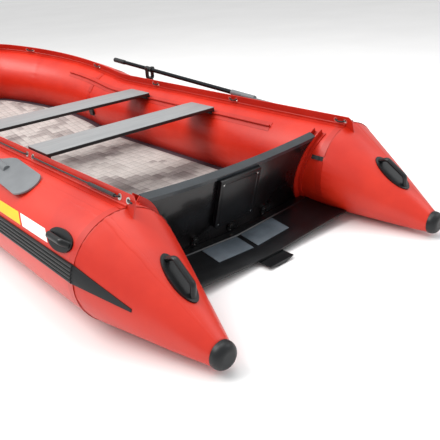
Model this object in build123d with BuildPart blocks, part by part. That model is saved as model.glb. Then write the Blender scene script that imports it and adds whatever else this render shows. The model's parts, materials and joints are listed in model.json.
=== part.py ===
"""Inflatable dinghy with a raked plastic transom, built as separate pieces in millimetres.

The row frame has +X to starboard, +Y to the bow and +Z up. The origin is under the middle of the
boat, on the surface that the tubes and the keel stand on. A station is the distance along a side
tube's axis, counted forward from the transom.
"""

from build123d import *
import math
import os

os.makedirs("parts", exist_ok=True)

# Driving dimensions, in millimetres and degrees -------------------------------------------------

length_overall = 4400.0
tube_radius = 250.0
tube_wall = 3.0
axis_spacing = 1500.0
seat_gap = 0.2            # bonded pieces stand this far off a curved face
running_gap = 0.4         # a moving piece stands this far off what it runs on

cone_root = 150.0         # aft of the transom
cone_length = 540.0
cone_tip_radius = 55.0
cone_tip_height = 80.0
cone_tip_inset = 20.0
cap_length = 45.0
cap_lip = 3.0

sheer_angle = 10.0
knuckle_radius = 1400.0
sweep_radius = 1700.0
sweep_angle = 40.0
baffle_station = 2320.0
baffle_thickness = 3.0
tape_width = 40.0
tape_thickness = 1.2

strake_angle = 14.5       # above the tube's widest line
strake_width = 76.0
strake_base = 6.0
strake_rib_radius = 6.0
strake_ribs = 5
strake_tail = 245.0       # length of the pointed end on the cone

flap_angle = 99.0
flap_lean = 17.5
flap_height = 57.0
flap_thickness = 5.0
flap_bead_radius = 7.0
flap_foot_width = 60.0
flap_foot_thickness = 2.5
flap_aft_overhang = 50.0  # past the cone's root
flap_chamfer = 22.0
eyelet_stations = (-122.0, 730.0, 1575.0, 2430.0, 3180.0)
eyelet_spacing = 62.0
eyelet_height = 30.0
eyelet_bore_radius = 8.0
eyelet_flange_radius = 14.0
eyelet_flange_thickness = 1.2
rope_radius = 4.0
rope_offset = 13.5        # from the flap's middle to the rope's middle
rope_crossing = 7.8       # half the length over which the rope passes through an eyelet
rope_end_overhang = 39.0
splice_radius = 8.0
splice_start = -70.0
splice_length = 205.0

rail_angle = 130.0
rail_aft_station = 300.0
rail_forward_station = 2650.0
rail_foot_width = 60.0
rail_foot_thickness = 2.5
rail_bead_radius = 6.0
rail_neck = 6.0
rail_neck_width = 5.0
shoe_wall = 6.0
shoe_length = 200.0
thwart_width = 235.0
thwart_length = 1180.0
thwart_thickness = 20.0
thwart_corner = 12.0
thwart_seat_height = 468.0
thwart_aft_station = 908.0
thwart_forward_station = 1624.0

rowlock_station = 1800.0
rowlock_offset = 60.0     # outboard of the tube's axis
rowlock_base_top = 522.0
rowlock_base_length = 130.0
rowlock_base_width = 92.0
rowlock_stem_radius = 8.0
rowlock_stem_depth = 22.0
rowlock_pin_height = 590.0
rowlock_pin_radius = 5.0
rowlock_cheek = 8.0
rowlock_knob_radius = 15.0
oar_outboard = 1400.0
oar_inboard = 450.0
oar_shaft_radius = 15.0
oar_shaft_wall = 2.0
pin_clearance = 0.05
oar_drop_angle = 4.4
oar_splay_angle = 2.0
oar_roll_angle = 20.0
oar_blade_length = 420.0
oar_blade_width = 150.0
oar_blade_thickness = 8.0
oar_collar_radius = 20.0
oar_collar_length = 70.0
oar_grip_radius = 18.0
oar_grip_length = 130.0

transom_rake = 15.8
transom_thickness = 40.0
transom_bottom_height = 22.0
transom_end_x = 572.0
transom_end_height = 456.0
transom_middle_height = 428.0
holder_thickness = 6.0
holder_flange = 28.0
holder_top_angle = 122.0
holder_bottom_angle = 236.0
edging_wall = 5.0
edging_depth = 15.0
motor_pad_width = 270.0
motor_pad_top_height = 428.0
motor_pad_bottom_height = 136.0
motor_pad_thickness = 24.0
motor_pad_corner = 18.0
inner_pad_thickness = 4.0
inner_pad_low_height = 150.0
screw_head_radius = 5.0
screw_head_height = 2.0
screw_shank_radius = 2.5
pad_screw_spacing_x = 228.0
pad_screw_top_height = 388.0
pad_screw_bottom_height = 160.0
scupper_spacing = 245.0
scupper_width = 44.0
scupper_tall = 60.0
scupper_height = 90.0      # of the middle one, above the ground
scupper_side_rise = 8.0
scupper_thickness = 7.0
plug_radius = 11.0
plug_depth = 18.0
plug_head_radius = 14.0
plug_head_height = 5.0
plug_offset = 6.0         # up the oval from its middle
scupper_sleeve_radius = 14.5
scupper_screw_radius = 2.0
scupper_screw_offset = 20.0
scupper_screw_depth = 8.0

floor_low = 20.0
floor_thickness = 85.0
mat_thickness = 8.0
mat_margin = 45.0
mat_aft_gap = 14.0
keel_width_top = 170.0
keel_width_bottom = 46.0
keel_aft_station = -325.0
keel_bow_end = 1020.0     # along the sheer plane
keel_bow_taper = 220.0
deadrise = 3.2
foot_top_height = 52.0
lip_depth = 8.0          # aft of the transom's reference line
lip_height = 57.0
slope_foot_depth = 150.0
plate_depth = 255.0
plate_thickness = 12.0
extension_width = 1200.0
pad_gap = 30.0
pad_width = 235.0
pad_thickness = 4.0
pad_inset = 5.0

handle_length = 235.0
handle_width = 92.0
handle_base = 8.0
handle_rise = 48.0
handle_bar = 20.0
side_handle_length = 190.0
side_handle_width = 90.0
side_handle_rise = 34.0
side_handle_station = -12.0
side_handle_angle = 36.5
cone_handle_share = 0.56  # along the cone, from its root

bow_handle_angle = 52.0
valve_angle = 186.0
valve_side_station = 2240.0
valve_bow_station = 2400.0
valve_flange_radius = 34.0
valve_flange = 4.0
valve_body_radius = 22.0
valve_body_depth = 30.0
valve_cap_radius = 27.0
valve_cap_height = 12.0
tow_patch_radius = 62.0
tow_angle = -50.0
tow_ring_radius = 30.0
tow_ring_wire = 4.0
tow_lug_width = 26.0
loop_station = -108.0
loop_angle = 155.0
loop_length = 76.0
loop_width = 22.0
loop_rise = 12.0
loop_web = 2.0

# Worked out from the driving dimensions ----------------------------------------------------------

half_spacing = axis_spacing / 2
sheer = math.radians(sheer_angle)
sweep_turn = math.radians(sweep_angle)
nose_start_x = half_spacing - sweep_radius * (1 - math.cos(sweep_turn))
nose_radius = nose_start_x / math.cos(sweep_turn)
bow_reach = sweep_radius * math.sin(sweep_turn) + nose_radius * (1 - math.sin(sweep_turn))
strake_half_turn = math.degrees(strake_width / 2 / tube_radius)
strake_reach = tube_radius + strake_base + strake_rib_radius
strake_low_angle = math.radians(strake_angle - strake_half_turn * 0.8 + sheer_angle)
front_reach = max(tube_radius, strake_reach * math.cos(strake_low_angle))
transom_y = -length_overall / 2 + cone_root + cone_length + cap_length
bow_axis_y = length_overall / 2 - front_reach
knuckle_y = bow_axis_y - knuckle_radius * math.sin(sheer) - bow_reach * math.cos(sheer)
straight_run = knuckle_y - transom_y
knuckle_run = knuckle_radius * sheer
sweep_run = sweep_radius * sweep_turn
nose_run = nose_radius * (math.pi / 2 - sweep_turn)
knuckle_end = straight_run + knuckle_run
nose_start = knuckle_end + sweep_run
bow_station = nose_start + nose_run
rake = math.tan(math.radians(transom_rake))

sheer_up = Vector(0, -math.sin(sheer), math.cos(sheer))
sheer_ahead = Vector(0, math.cos(sheer), math.sin(sheer))
starboard = Vector(1, 0, 0)
knuckle_centre = Vector(half_spacing, knuckle_y, tube_radius + knuckle_radius)
sheer_origin = Vector(
    0,
    knuckle_y + knuckle_radius * math.sin(sheer),
    tube_radius + knuckle_radius * (1 - math.cos(sheer)),
)
sheer_plane = Plane(sheer_origin, x_dir=starboard, z_dir=sheer_up)
sweep_centre = sheer_origin + starboard * (half_spacing - sweep_radius)
nose_offset = half_spacing - sweep_radius + (sweep_radius - nose_radius) * math.cos(sweep_turn)
nose_centre = (
    sheer_origin
    + starboard * nose_offset
    + sheer_ahead * ((sweep_radius - nose_radius) * math.sin(sweep_turn))
)

# Each stretch of the starboard axis: its first and last station, the axis it turns about, its radius
stretches = (
    (-cone_root, straight_run, None, None),
    (straight_run, knuckle_end, Axis(knuckle_centre, starboard), knuckle_radius),
    (knuckle_end, nose_start, Axis(sweep_centre, sheer_up), sweep_radius),
    (nose_start, bow_station, Axis(nose_centre, sheer_up), nose_radius),
)


def at_station(station):
    """Gives the axis point, and the outboard, up and ahead directions, at a station."""
    if station <= straight_run:
        point = Vector(half_spacing, transom_y + station, tube_radius)
        return point, starboard, Vector(0, 0, 1), Vector(0, 1, 0)
    if station <= knuckle_end:
        turn = (station - straight_run) / knuckle_radius
        up = Vector(0, -math.sin(turn), math.cos(turn))
        ahead = Vector(0, math.cos(turn), math.sin(turn))
        return knuckle_centre - up * knuckle_radius, starboard, up, ahead
    if station <= nose_start:
        turn = (station - knuckle_end) / sweep_radius
        centre, radius = sweep_centre, sweep_radius
    else:
        turn = sweep_turn + (station - nose_start) / nose_radius
        centre, radius = nose_centre, nose_radius
    out = starboard * math.cos(turn) + sheer_ahead * math.sin(turn)
    ahead = sheer_ahead * math.cos(turn) - starboard * math.sin(turn)
    return centre + out * radius, out, sheer_up, ahead


def section_plane(station):
    """The plane across the tube at a station: x runs outboard and y up from the tube's axis."""
    point, out, up, ahead = at_station(station)
    return Plane(point, x_dir=out, z_dir=-ahead)


def carry(profile, first, last):
    """Carries a profile, drawn outboard and up from the axis, between two stations."""
    with BuildPart() as run:
        for start, stop, axis, radius in stretches:
            low = max(first, start)
            high = min(last, stop)
            if high - low < 0.01:
                continue
            with BuildSketch(section_plane(low)):
                add(profile)
            if axis is None:
                extrude(amount=low - high)
            else:
                revolve(axis=axis, revolution_arc=math.degrees((high - low) / radius))
    return run.part


def ring(outer, inner):
    """A flat ring about the tube's axis."""
    with BuildSketch() as face:
        Circle(outer)
        Circle(inner, mode=Mode.SUBTRACT)
    return face.sketch


def disc(radius):
    """A flat disc about the tube's axis."""
    with BuildSketch() as face:
        Circle(radius)
    return face.sketch


def band(inner, outer, middle_angle, width):
    """A piece of a ring, its width measured along the tube, centred on an angle from outboard."""
    half_turn = math.degrees(width / 2 / tube_radius)
    reach = outer * 1.3 / math.cos(math.radians(half_turn))
    with BuildSketch() as face:
        Circle(outer)
        Circle(inner, mode=Mode.SUBTRACT)
        Polygon(
            (0, 0),
            along(middle_angle - half_turn, reach),
            along(middle_angle + half_turn, reach),
            align=None,
            mode=Mode.INTERSECT,
        )
    return face.sketch


def along(angle, radius):
    """A point in a section: outboard and up, from an angle and a distance from the axis."""
    return (radius * math.cos(math.radians(angle)), radius * math.sin(math.radians(angle)))


def cone_section(share, grow=0.0):
    """The plane and radius of the starboard cone, share 0 at its root and 1 at its tip."""
    plane = Plane(
        (
            half_spacing - cone_tip_inset * share,
            transom_y - cone_root - cone_length * share,
            tube_radius + (cone_tip_height - tube_radius) * share,
        ),
        x_dir=starboard,
        z_dir=(0, -1, 0),
    )
    return plane, tube_radius + (cone_tip_radius - tube_radius) * share + grow


def cone_solid(grow, first=0.0, last=1.0):
    """The starboard cone as one solid, its radius grown by a set amount."""
    with BuildPart() as cone:
        for share in (first, last):
            plane, radius = cone_section(share, grow)
            with BuildSketch(plane):
                Circle(radius)
        loft(ruled=True)
    return cone.part


def hull_envelope(grow):
    """Both tubes and their cones as one solid, grown outward, to cut what is seated on them."""
    with BuildPart() as hull:
        add(carry(disc(tube_radius + grow), -cone_root, bow_station))
        add(cone_solid(grow))
        mirror(about=Plane.YZ)
    return hull.part


def finish(piece, name):
    """Labels a finished piece and writes it to its own file."""
    piece.part.label = name
    export_step(piece.part, f"parts/{name}.step")


# Places on the tubes and the cones --------------------------------------------------------------

def tube_spot(station, angle, rise=0.0):
    """A plane on the starboard tube: x runs ahead and z out of the tube's skin."""
    point, out, up, ahead = at_station(station)
    turn = math.radians(angle)
    normal = out * math.cos(turn) + up * math.sin(turn)
    return Plane(point + normal * (tube_radius + rise), x_dir=ahead, z_dir=normal)


def cone_spot(share, angle):
    """A plane on the starboard cone: x runs aft down the cone and z out of its skin."""
    turn = math.radians(angle)
    points = []
    for part in (share - 0.1, share, share + 0.1):
        plane, radius = cone_section(part)
        points.append(plane.origin + Vector(math.cos(turn), 0, math.sin(turn)) * radius)
    slope = (points[2] - points[0]).normalized()
    across = Vector(-math.sin(turn), 0, math.cos(turn))
    normal = across.cross(slope)
    return Plane(points[1], x_dir=slope, z_dir=normal)


def flap_spot(station, height, offset):
    """A point on the flap: up its face from the foot, and outboard of its middle."""
    point, out, up, ahead = at_station(station)
    foot_out, foot_up = along(flap_angle, tube_radius)
    lean = math.radians(flap_lean)
    local_out = foot_out - height * math.sin(lean) + offset * math.cos(lean)
    local_up = foot_up + height * math.cos(lean) + offset * math.sin(lean)
    return point + out * local_out + up * local_up


def flap_plane(station, height):
    """A plane on the flap's middle: x runs ahead and z outboard through the flap."""
    ahead = at_station(station)[3]
    normal = flap_spot(station, height, 1.0) - flap_spot(station, height, 0.0)
    return Plane(flap_spot(station, height, 0.0), x_dir=ahead, z_dir=normal)


def section_wedge(angle, width):
    """The corners of a wedge from the axis, to cut a ring where another piece crosses it."""
    half_turn = math.degrees(width / 2 / tube_radius)
    reach = tube_radius * 1.3
    return (0, 0), along(angle - half_turn, reach), along(angle + half_turn, reach)


# Tubes, their baffles and their rubber tips ------------------------------------------------------

tube_ring = ring(tube_radius, tube_radius - tube_wall)

with BuildPart() as tube_starboard:
    add(carry(tube_ring, -cone_root, baffle_station))
    add(cone_solid(0))
    add(cone_solid(-tube_wall, 0.0, 1 - tube_wall / cone_length), mode=Mode.SUBTRACT)
    with BuildSketch(tube_spot(valve_side_station, valve_angle)):
        Circle(valve_body_radius + seat_gap)
    extrude(amount=tube_wall * 3, both=True, mode=Mode.SUBTRACT)
finish(tube_starboard, "tube_starboard")

with BuildPart() as tube_port:
    mirror(tube_starboard.part, about=Plane.YZ)
finish(tube_port, "tube_port")

with BuildPart() as tube_bow:
    add(carry(tube_ring, baffle_station + baffle_thickness, bow_station))
    mirror(about=Plane.YZ)
    with BuildSketch(tube_spot(valve_bow_station, valve_angle)):
        Circle(valve_body_radius + seat_gap)
    extrude(amount=tube_wall * 3, both=True, mode=Mode.SUBTRACT)
finish(tube_bow, "tube_bow")

with BuildPart() as baffles:
    add(carry(disc(tube_radius), baffle_station, baffle_station + baffle_thickness))
    mirror(about=Plane.YZ)
finish(baffles, "baffles")

tip_plane, tip_radius = cone_section(1.0)
cap_radius = tip_radius + cap_lip

with BuildPart() as cone_cap_starboard:
    with BuildSketch(tip_plane):
        Circle(cap_radius)
    extrude(amount=cap_length)
    fillet(cone_cap_starboard.faces().sort_by(Axis.Y)[0].edges(), radius=cap_length * 0.75)
finish(cone_cap_starboard, "cone_cap_starboard")

with BuildPart() as cone_cap_port:
    mirror(cone_cap_starboard.part, about=Plane.YZ)
finish(cone_cap_port, "cone_cap_port")

# Seam tapes, rubbing strakes and flaps -----------------------------------------------------------

tape_clearance = 3.0
floor_edge_angle = 231.0     # where the floor's edge meets the tube
floor_edge_width = 170.0
ground_angle = 270.0         # where the tube rests on the ground
ground_width = 80.0

with BuildSketch() as cone_tape:
    Circle(tube_radius + seat_gap + tape_thickness)
    Circle(tube_radius + seat_gap, mode=Mode.SUBTRACT)
    for crossed_angle, crossed_width in (
        (strake_angle, strake_width), (flap_angle, flap_foot_width), (loop_angle, loop_width),
        (floor_edge_angle, floor_edge_width), (ground_angle, ground_width),
    ):
        corners = section_wedge(crossed_angle, crossed_width + tape_clearance * 2)
        Polygon(*corners, align=None, mode=Mode.SUBTRACT)

with BuildSketch() as baffle_tape:
    add(cone_tape.sketch)
    corners = section_wedge(rail_angle, rail_foot_width + tape_clearance * 2)
    Polygon(*corners, align=None, mode=Mode.SUBTRACT)

baffle_tape_start = baffle_station + (baffle_thickness - tape_width) / 2

with BuildPart() as seam_tapes:
    add(carry(cone_tape.sketch, -cone_root + seat_gap, -cone_root + tape_width))
    add(carry(baffle_tape.sketch, baffle_tape_start, baffle_tape_start + tape_width))
    mirror(about=Plane.YZ)
finish(seam_tapes, "seam_tapes")

with BuildSketch() as strake_face:
    add(band(tube_radius + seat_gap, tube_radius + strake_base, strake_angle, strake_width))
    for rib in range(strake_ribs):
        turn = math.degrees((rib - (strake_ribs - 1) / 2) * strake_width / strake_ribs / tube_radius)
        with Locations(along(strake_angle + turn, tube_radius + strake_base)):
            Circle(strake_rib_radius)
    Circle(tube_radius + seat_gap, mode=Mode.SUBTRACT)

tail_share = strake_tail / cone_length
tail_plane, tail_radius = cone_section(tail_share)
root_plane, root_radius = cone_section(0.0)

with BuildPart() as strake_starboard:
    for place, radius, width, height in (
        (root_plane, root_radius, strake_width, strake_base),
        (tail_plane, tail_radius, strake_rib_radius * 2, strake_base / 2),
    ):
        middle = math.radians(strake_angle)
        spot = place.origin + Vector(math.cos(middle), 0, math.sin(middle)) * radius
        with BuildSketch(Plane(spot, x_dir=(math.cos(middle), 0, math.sin(middle)), z_dir=(0, -1, 0))):
            Rectangle(height * 4, width)
    loft(ruled=True)
    add(cone_solid(strake_base), mode=Mode.INTERSECT)
    add(cone_solid(seat_gap), mode=Mode.SUBTRACT)
    add(carry(strake_face.sketch, -cone_root, bow_station - seat_gap))
finish(strake_starboard, "strake_starboard")

with BuildPart() as strake_port:
    mirror(strake_starboard.part, about=Plane.YZ)
finish(strake_port, "strake_port")

lean = math.radians(flap_lean)
flap_rise = Vector(-math.sin(lean), math.cos(lean))
flap_normal = Vector(math.cos(lean), math.sin(lean))
flap_root = Vector(*along(flap_angle, tube_radius))


def flap_outline(root_depth):
    """The standing band's section, its foot carried a set depth below the tube's skin."""
    low = flap_root - flap_rise * root_depth
    high = flap_root + flap_rise * flap_height
    half = flap_normal * (flap_thickness / 2)
    return [tuple(point)[:2] for point in (low - half, low + half, high + half, high - half)]


with BuildSketch() as flap_face:
    add(band(tube_radius + seat_gap, tube_radius + flap_foot_thickness, flap_angle, flap_foot_width))
    with Locations(along(flap_angle, tube_radius + flap_bead_radius)):
        Circle(flap_bead_radius)
    Polygon(*flap_outline(0), align=None)
    Circle(tube_radius + seat_gap, mode=Mode.SUBTRACT)

eyelet_barrel_radius = eyelet_bore_radius + eyelet_flange_thickness
flap_end_station = -cone_root - flap_aft_overhang
flap_end_plane = flap_plane(flap_end_station, flap_height)

with BuildPart() as flap_starboard:
    with BuildSketch(section_plane(flap_end_station)):
        Polygon(*flap_outline(tube_radius / 3), align=None)
    extrude(amount=-flap_aft_overhang)
    add(cone_solid(seat_gap), mode=Mode.SUBTRACT)
    add(carry(flap_face.sketch, -cone_root, bow_station - seat_gap))
    with BuildSketch(flap_end_plane):
        Polygon((-1, -flap_chamfer), (-1, 1), (flap_chamfer, 1), align=None)
    extrude(amount=flap_thickness, both=True, mode=Mode.SUBTRACT)
    for pair in eyelet_stations:
        for side in (-1, 1):
            with BuildSketch(flap_plane(pair + side * eyelet_spacing / 2, eyelet_height)):
                Circle(eyelet_barrel_radius + seat_gap)
            extrude(amount=flap_thickness, both=True, mode=Mode.SUBTRACT)
finish(flap_starboard, "flap_starboard")

with BuildPart() as flap_port:
    mirror(flap_starboard.part, about=Plane.YZ)
finish(flap_port, "flap_port")

with BuildPart() as eyelets:
    for pair in eyelet_stations:
        for side in (-1, 1):
            middle = flap_plane(pair + side * eyelet_spacing / 2, eyelet_height)
            with BuildSketch(middle):
                Circle(eyelet_barrel_radius)
                Circle(eyelet_bore_radius, mode=Mode.SUBTRACT)
            extrude(amount=flap_thickness / 2 + seat_gap, both=True)
            for face in (1, -1):
                with BuildSketch(middle.offset(face * (flap_thickness / 2 + seat_gap))):
                    Circle(eyelet_flange_radius)
                    Circle(eyelet_bore_radius, mode=Mode.SUBTRACT)
                extrude(amount=face * eyelet_flange_thickness)
    mirror(about=Plane.YZ)
finish(eyelets, "eyelets")

# Grab ropes: straight along the flap, dipping inboard between the two eyelets of each pair --------

rope_start = eyelet_stations[0] - eyelet_spacing / 2 - rope_end_overhang
rope_stop = eyelet_stations[-1] + eyelet_spacing / 2 + rope_end_overhang
# Extra points hold the rope to the flap where the tube curves
rope_curve_stations = {
    2: (1925.0, 2010.0, 2095.0, 2180.0, 2290.0),
    3: (2580.0, 2695.0, 2810.0, 2925.0, 3040.0),
}

rope_points = [flap_spot(rope_start, eyelet_height, rope_offset)]
for index, pair in enumerate(eyelet_stations):
    for middle, inward in ((pair - eyelet_spacing / 2, 1), (pair + eyelet_spacing / 2, -1)):
        for step in (-1, 1):
            shift_by = -step * inward * rope_offset
            rope_points.append(flap_spot(middle + step * rope_crossing, eyelet_height, shift_by))
    for station in rope_curve_stations.get(index, ()):
        rope_points.append(flap_spot(station, eyelet_height, rope_offset))
rope_points.append(flap_spot(rope_stop, eyelet_height, rope_offset))


def bend_radii(points):
    """The largest radius each corner has room for: 0.45 of its shorter run over the half turn."""
    radii = []
    for before, corner, after in zip(points, points[1:], points[2:]):
        run_in = corner - before
        run_out = after - corner
        half_turn = math.radians(run_in.get_angle(run_out)) / 2
        radii.append(0.45 * min(run_in.length, run_out.length) / math.tan(half_turn))
    return radii


rope_radii = bend_radii(rope_points)
print("rope bend radii:", [round(radius, 1) for radius in rope_radii])

with BuildPart() as lifeline_starboard:
    with BuildLine() as rope_route:
        FilletPolyline(*rope_points, radius=rope_radii)
    with BuildSketch(Plane(rope_route.wire() @ 0, z_dir=rope_route.wire() % 0)):
        Circle(rope_radius)
    sweep(path=rope_route.wire())
rope_volume = math.pi * rope_radius**2 * rope_route.wire().length
print("rope volume share:", round(lifeline_starboard.part.volume / rope_volume, 4))
finish(lifeline_starboard, "lifeline_starboard")

with BuildPart() as lifeline_port:
    mirror(lifeline_starboard.part, about=Plane.YZ)
finish(lifeline_port, "lifeline_port")

splice_place = flap_spot(splice_start, eyelet_height, rope_offset)

with BuildPart() as lifeline_splices:
    with BuildSketch(Plane(splice_place, z_dir=(0, 1, 0))):
        Circle(splice_radius)
        Circle(rope_radius + seat_gap, mode=Mode.SUBTRACT)
    extrude(amount=splice_length)
    mirror(about=Plane.YZ)
finish(lifeline_splices, "lifeline_splices")

# Thwart rails, their shoes and the two thwarts ---------------------------------------------------

rail_bead_distance = tube_radius + rail_foot_thickness + rail_neck / 2 + rail_bead_radius
rail_bead_spot = along(rail_angle, rail_bead_distance)

with BuildSketch() as rail_face:
    add(band(tube_radius + seat_gap, tube_radius + rail_foot_thickness, rail_angle, rail_foot_width))
    with Locations(rail_bead_spot):
        Circle(rail_bead_radius)
    neck_side = Vector(*along(rail_angle + 90, rail_neck_width / 2))
    neck_low = Vector(*along(rail_angle, tube_radius))
    neck_high = Vector(*rail_bead_spot)
    neck_corners = (neck_low - neck_side, neck_low + neck_side, neck_high + neck_side, neck_high - neck_side)
    Polygon(*[tuple(corner)[:2] for corner in neck_corners], align=None)
    Circle(tube_radius + seat_gap, mode=Mode.SUBTRACT)

with BuildPart() as thwart_rail_starboard:
    add(carry(rail_face.sketch, rail_aft_station, rail_forward_station))
finish(thwart_rail_starboard, "thwart_rail_starboard")

with BuildPart() as thwart_rail_port:
    mirror(thwart_rail_starboard.part, about=Plane.YZ)
finish(thwart_rail_port, "thwart_rail_port")

shoe_hold = rail_bead_radius + running_gap
shoe_outer = shoe_hold + shoe_wall
shoe_seat = thwart_seat_height - tube_radius

with BuildSketch() as shoe_face:
    with Locations(rail_bead_spot):
        Circle(shoe_outer)
    bead_out, bead_up = rail_bead_spot
    with Locations((bead_out, (bead_up + shoe_seat) / 2)):
        Rectangle(shoe_outer * 3, shoe_seat - bead_up)
    with Locations(rail_bead_spot):
        Circle(shoe_hold, mode=Mode.SUBTRACT)
    slot_side = Vector(*along(rail_angle + 90, rail_neck_width / 2 + running_gap * 2))
    slot_corners = (neck_low - slot_side, neck_low + slot_side, neck_high + slot_side, neck_high - slot_side)
    Polygon(*[tuple(corner)[:2] for corner in slot_corners], align=None, mode=Mode.SUBTRACT)
    Circle(tube_radius + rail_foot_thickness + running_gap * 2, mode=Mode.SUBTRACT)

for name, middle in (("aft", thwart_aft_station), ("forward", thwart_forward_station)):
    with BuildPart() as thwart:
        with BuildSketch(Plane.XY.offset(thwart_seat_height)):
            with Locations((0, transom_y + middle)):
                RectangleRounded(thwart_length, thwart_width, thwart_corner)
        extrude(amount=thwart_thickness)
        upper_edges = thwart.edges().group_by(Axis.Z)[-1]
        fillet(upper_edges, radius=thwart_thickness / 5)
    finish(thwart, f"thwart_{name}")

    with BuildPart() as shoes:
        add(carry(shoe_face.sketch, middle - shoe_length / 2, middle + shoe_length / 2))
        mirror(about=Plane.YZ)
    finish(shoes, f"thwart_shoes_{name}")

# Rowlocks and oars, stowed with the blades aft on the tubes --------------------------------------

rowlock_x = half_spacing + rowlock_offset
rowlock_y = transom_y + rowlock_station
rowlock_angle = math.degrees(math.acos(rowlock_offset / tube_radius))
splay = math.radians(oar_splay_angle)
drop = math.radians(oar_drop_angle)
roll = math.radians(oar_roll_angle)
pivot = Vector(rowlock_x, rowlock_y, rowlock_pin_height)
oar_across = Vector(math.cos(splay), math.sin(splay), 0)
oar_level = Vector(-math.sin(splay), math.cos(splay), 0)
oar_ahead = oar_level * math.cos(drop) + Vector(0, 0, math.sin(drop))
oar_up = oar_across.cross(oar_ahead)
blade_across = oar_across * math.cos(roll) - oar_up * math.sin(roll)
blade_normal = oar_up * math.cos(roll) + oar_across * math.sin(roll)
oar_plane = Plane(pivot, x_dir=oar_across, z_dir=oar_ahead)
blade_plane = Plane(pivot, x_dir=blade_across, z_dir=blade_normal)
pin_plane = Plane(pivot, x_dir=(0, 0, 1), z_dir=oar_across)
yoke_plane = Plane((rowlock_x, rowlock_y, 0), x_dir=oar_across, z_dir=(0, 0, 1))

rowlock_boss_radius = rowlock_stem_radius * 3
rowlock_plate_top = tube_radius + 8.0
cheek_gap = oar_collar_radius + running_gap * 2
cheek_outer = cheek_gap + rowlock_cheek
cheek_width = rowlock_pin_radius * 7
yoke_foot = 8.0
yoke_low = rowlock_base_top + running_gap
plate_start = rowlock_station - rowlock_base_length
plate_stop = rowlock_station + rowlock_base_length

with BuildPart() as rowlock_base_starboard:
    with BuildSketch(tube_spot(rowlock_station, rowlock_angle)):
        Ellipse(rowlock_base_length / 2, rowlock_base_width / 2)
    extrude(amount=tube_radius / 8, both=True)
    add(carry(disc(rowlock_plate_top), plate_start, plate_stop), mode=Mode.INTERSECT)
    with BuildSketch(yoke_plane.offset(tube_radius * 1.8)):
        Circle(rowlock_boss_radius)
    extrude(amount=rowlock_base_top - tube_radius * 1.8)
    add(carry(disc(tube_radius + seat_gap), plate_start, plate_stop), mode=Mode.SUBTRACT)
    with BuildSketch(yoke_plane.offset(rowlock_base_top)):
        Circle(rowlock_stem_radius + 0.05)
    extrude(amount=-rowlock_stem_depth - 1, mode=Mode.SUBTRACT)
finish(rowlock_base_starboard, "rowlock_base_starboard")

with BuildPart() as rowlock_yoke_starboard:
    with BuildSketch(yoke_plane.offset(rowlock_base_top - rowlock_stem_depth)):
        Circle(rowlock_stem_radius)
    extrude(amount=rowlock_stem_depth + running_gap)
    with BuildSketch(yoke_plane.offset(yoke_low)):
        Circle(cheek_outer + 2)
    extrude(amount=yoke_foot)
    for side in (-1, 1):
        with BuildSketch(pin_plane.offset(side * cheek_gap)):
            Circle(cheek_width / 2)
            with Locations((-(rowlock_pin_height - yoke_low - yoke_foot) / 2, 0)):
                Rectangle(rowlock_pin_height - yoke_low - yoke_foot, cheek_width)
        extrude(amount=side * rowlock_cheek)
    with BuildSketch(pin_plane.offset(-cheek_outer)):
        Circle(rowlock_pin_radius)
    extrude(amount=cheek_outer * 2)
    with BuildSketch(pin_plane.offset(cheek_outer)):
        Circle(rowlock_knob_radius)
    extrude(amount=rowlock_knob_radius)
    fillet(rowlock_yoke_starboard.faces().sort_by(Axis.X)[-1].edges(), radius=rowlock_knob_radius / 3)
finish(rowlock_yoke_starboard, "rowlock_yoke_starboard")

blade_root = -(oar_outboard - oar_blade_length)
shaft_end = blade_root - oar_collar_length
blade_sleeve_radius = oar_shaft_radius + 4.0

with BuildPart() as oar_shaft_starboard:
    with BuildSketch(oar_plane.offset(shaft_end)):
        Circle(oar_shaft_radius)
        Circle(oar_shaft_radius - oar_shaft_wall, mode=Mode.SUBTRACT)
    extrude(amount=oar_inboard - shaft_end)
    with BuildSketch(pin_plane.offset(-oar_collar_radius)):
        Circle(rowlock_pin_radius + pin_clearance)
    extrude(amount=oar_collar_radius * 2, mode=Mode.SUBTRACT)
finish(oar_shaft_starboard, "oar_shaft_starboard")

with BuildPart() as oar_collar_starboard:
    with BuildSketch(oar_plane.offset(-oar_collar_length / 2)):
        Circle(oar_collar_radius)
        Circle(oar_shaft_radius + seat_gap, mode=Mode.SUBTRACT)
    extrude(amount=oar_collar_length)
    with BuildSketch(pin_plane.offset(-oar_collar_radius)):
        Circle(rowlock_pin_radius + pin_clearance)
    extrude(amount=oar_collar_radius * 2, mode=Mode.SUBTRACT)
finish(oar_collar_starboard, "oar_collar_starboard")

with BuildPart() as oar_blade_starboard:
    with BuildSketch(blade_plane):
        with BuildLine():
            root_half = blade_sleeve_radius
            wide = oar_blade_width / 2
            shoulder = blade_root - oar_blade_length * 0.3
            tip_shoulder = -oar_outboard + wide * 0.7
            Line((-root_half, blade_root), (root_half, blade_root))
            Spline((root_half, blade_root), (wide, shoulder), tangents=((0.3, -1), (0, -1)))
            Line((wide, shoulder), (wide, tip_shoulder))
            ThreePointArc((wide, tip_shoulder), (0, -oar_outboard), (-wide, tip_shoulder))
            Line((-wide, tip_shoulder), (-wide, shoulder))
            Spline((-wide, shoulder), (-root_half, blade_root), tangents=((0, 1), (0.3, 1)))
        make_face()
    extrude(amount=oar_blade_thickness / 2, both=True)
    with BuildSketch(oar_plane.offset(shaft_end - oar_collar_length)):
        Circle(blade_sleeve_radius)
    extrude(amount=oar_collar_length * 3)
    with BuildSketch(oar_plane.offset(shaft_end)):
        Circle(oar_shaft_radius + seat_gap)
    extrude(amount=oar_blade_length, mode=Mode.SUBTRACT)
finish(oar_blade_starboard, "oar_blade_starboard")

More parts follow.
